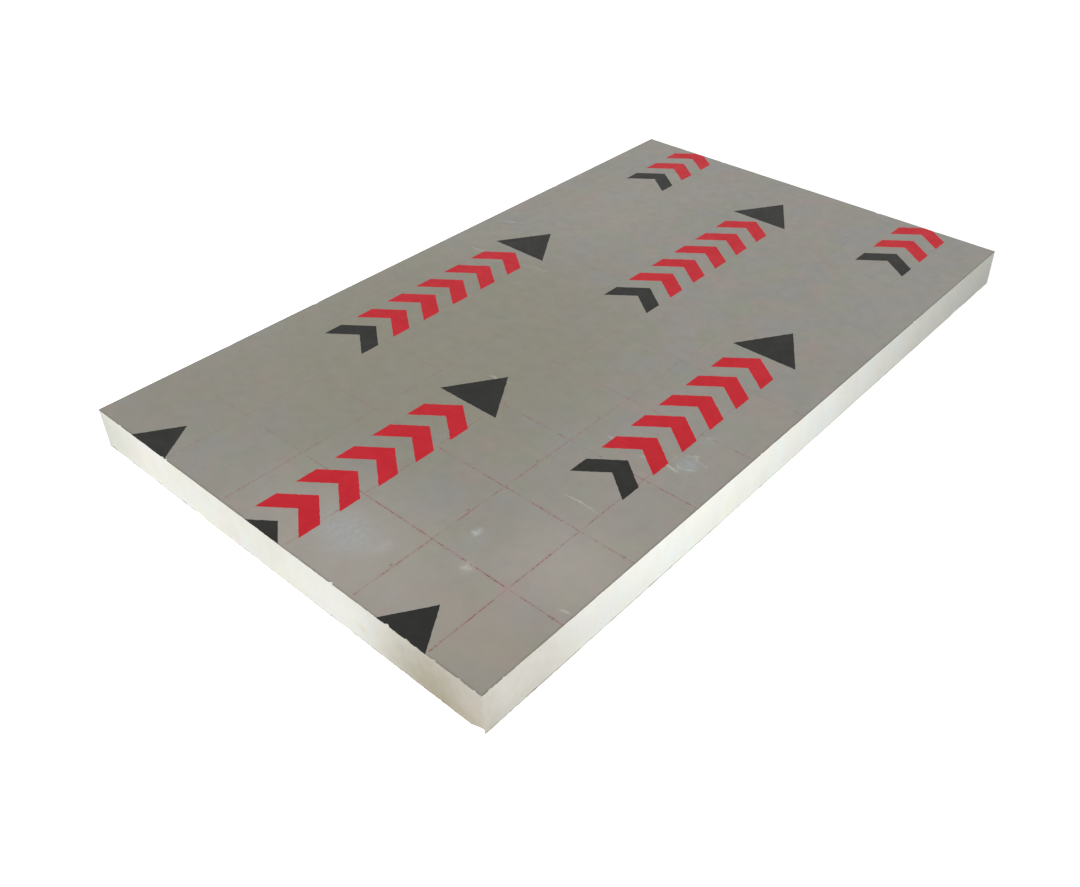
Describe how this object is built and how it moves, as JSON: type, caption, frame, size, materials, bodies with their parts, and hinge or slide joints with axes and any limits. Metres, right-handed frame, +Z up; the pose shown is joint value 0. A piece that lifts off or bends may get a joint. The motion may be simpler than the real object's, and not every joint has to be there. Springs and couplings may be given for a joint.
{
  "type": "polyiso insulation board",
  "caption": "Flat rectangular rigid foam insulation board with a foil facer bonded to each face and square-cut edges.",
  "frame": {"origin": "middle of the bottom face, on the surface that the board lies on", "axes": "+Z up through the thickness, +Y along the length, +X across the width; the chipped bottom corner is at +X, -Y"},
  "size_m": [0.6, 1, 0.05],
  "materials": {
    "polyiso_foam": "sawn rigid foam, matt",
    "foil_facer": "satin aluminium foil laminate"
  },
  "bodies": {
    "root": {"foam_core": "polyiso_foam", "top_facer": "foil_facer", "bottom_facer": "foil_facer"}
  },
  "joints": []
}
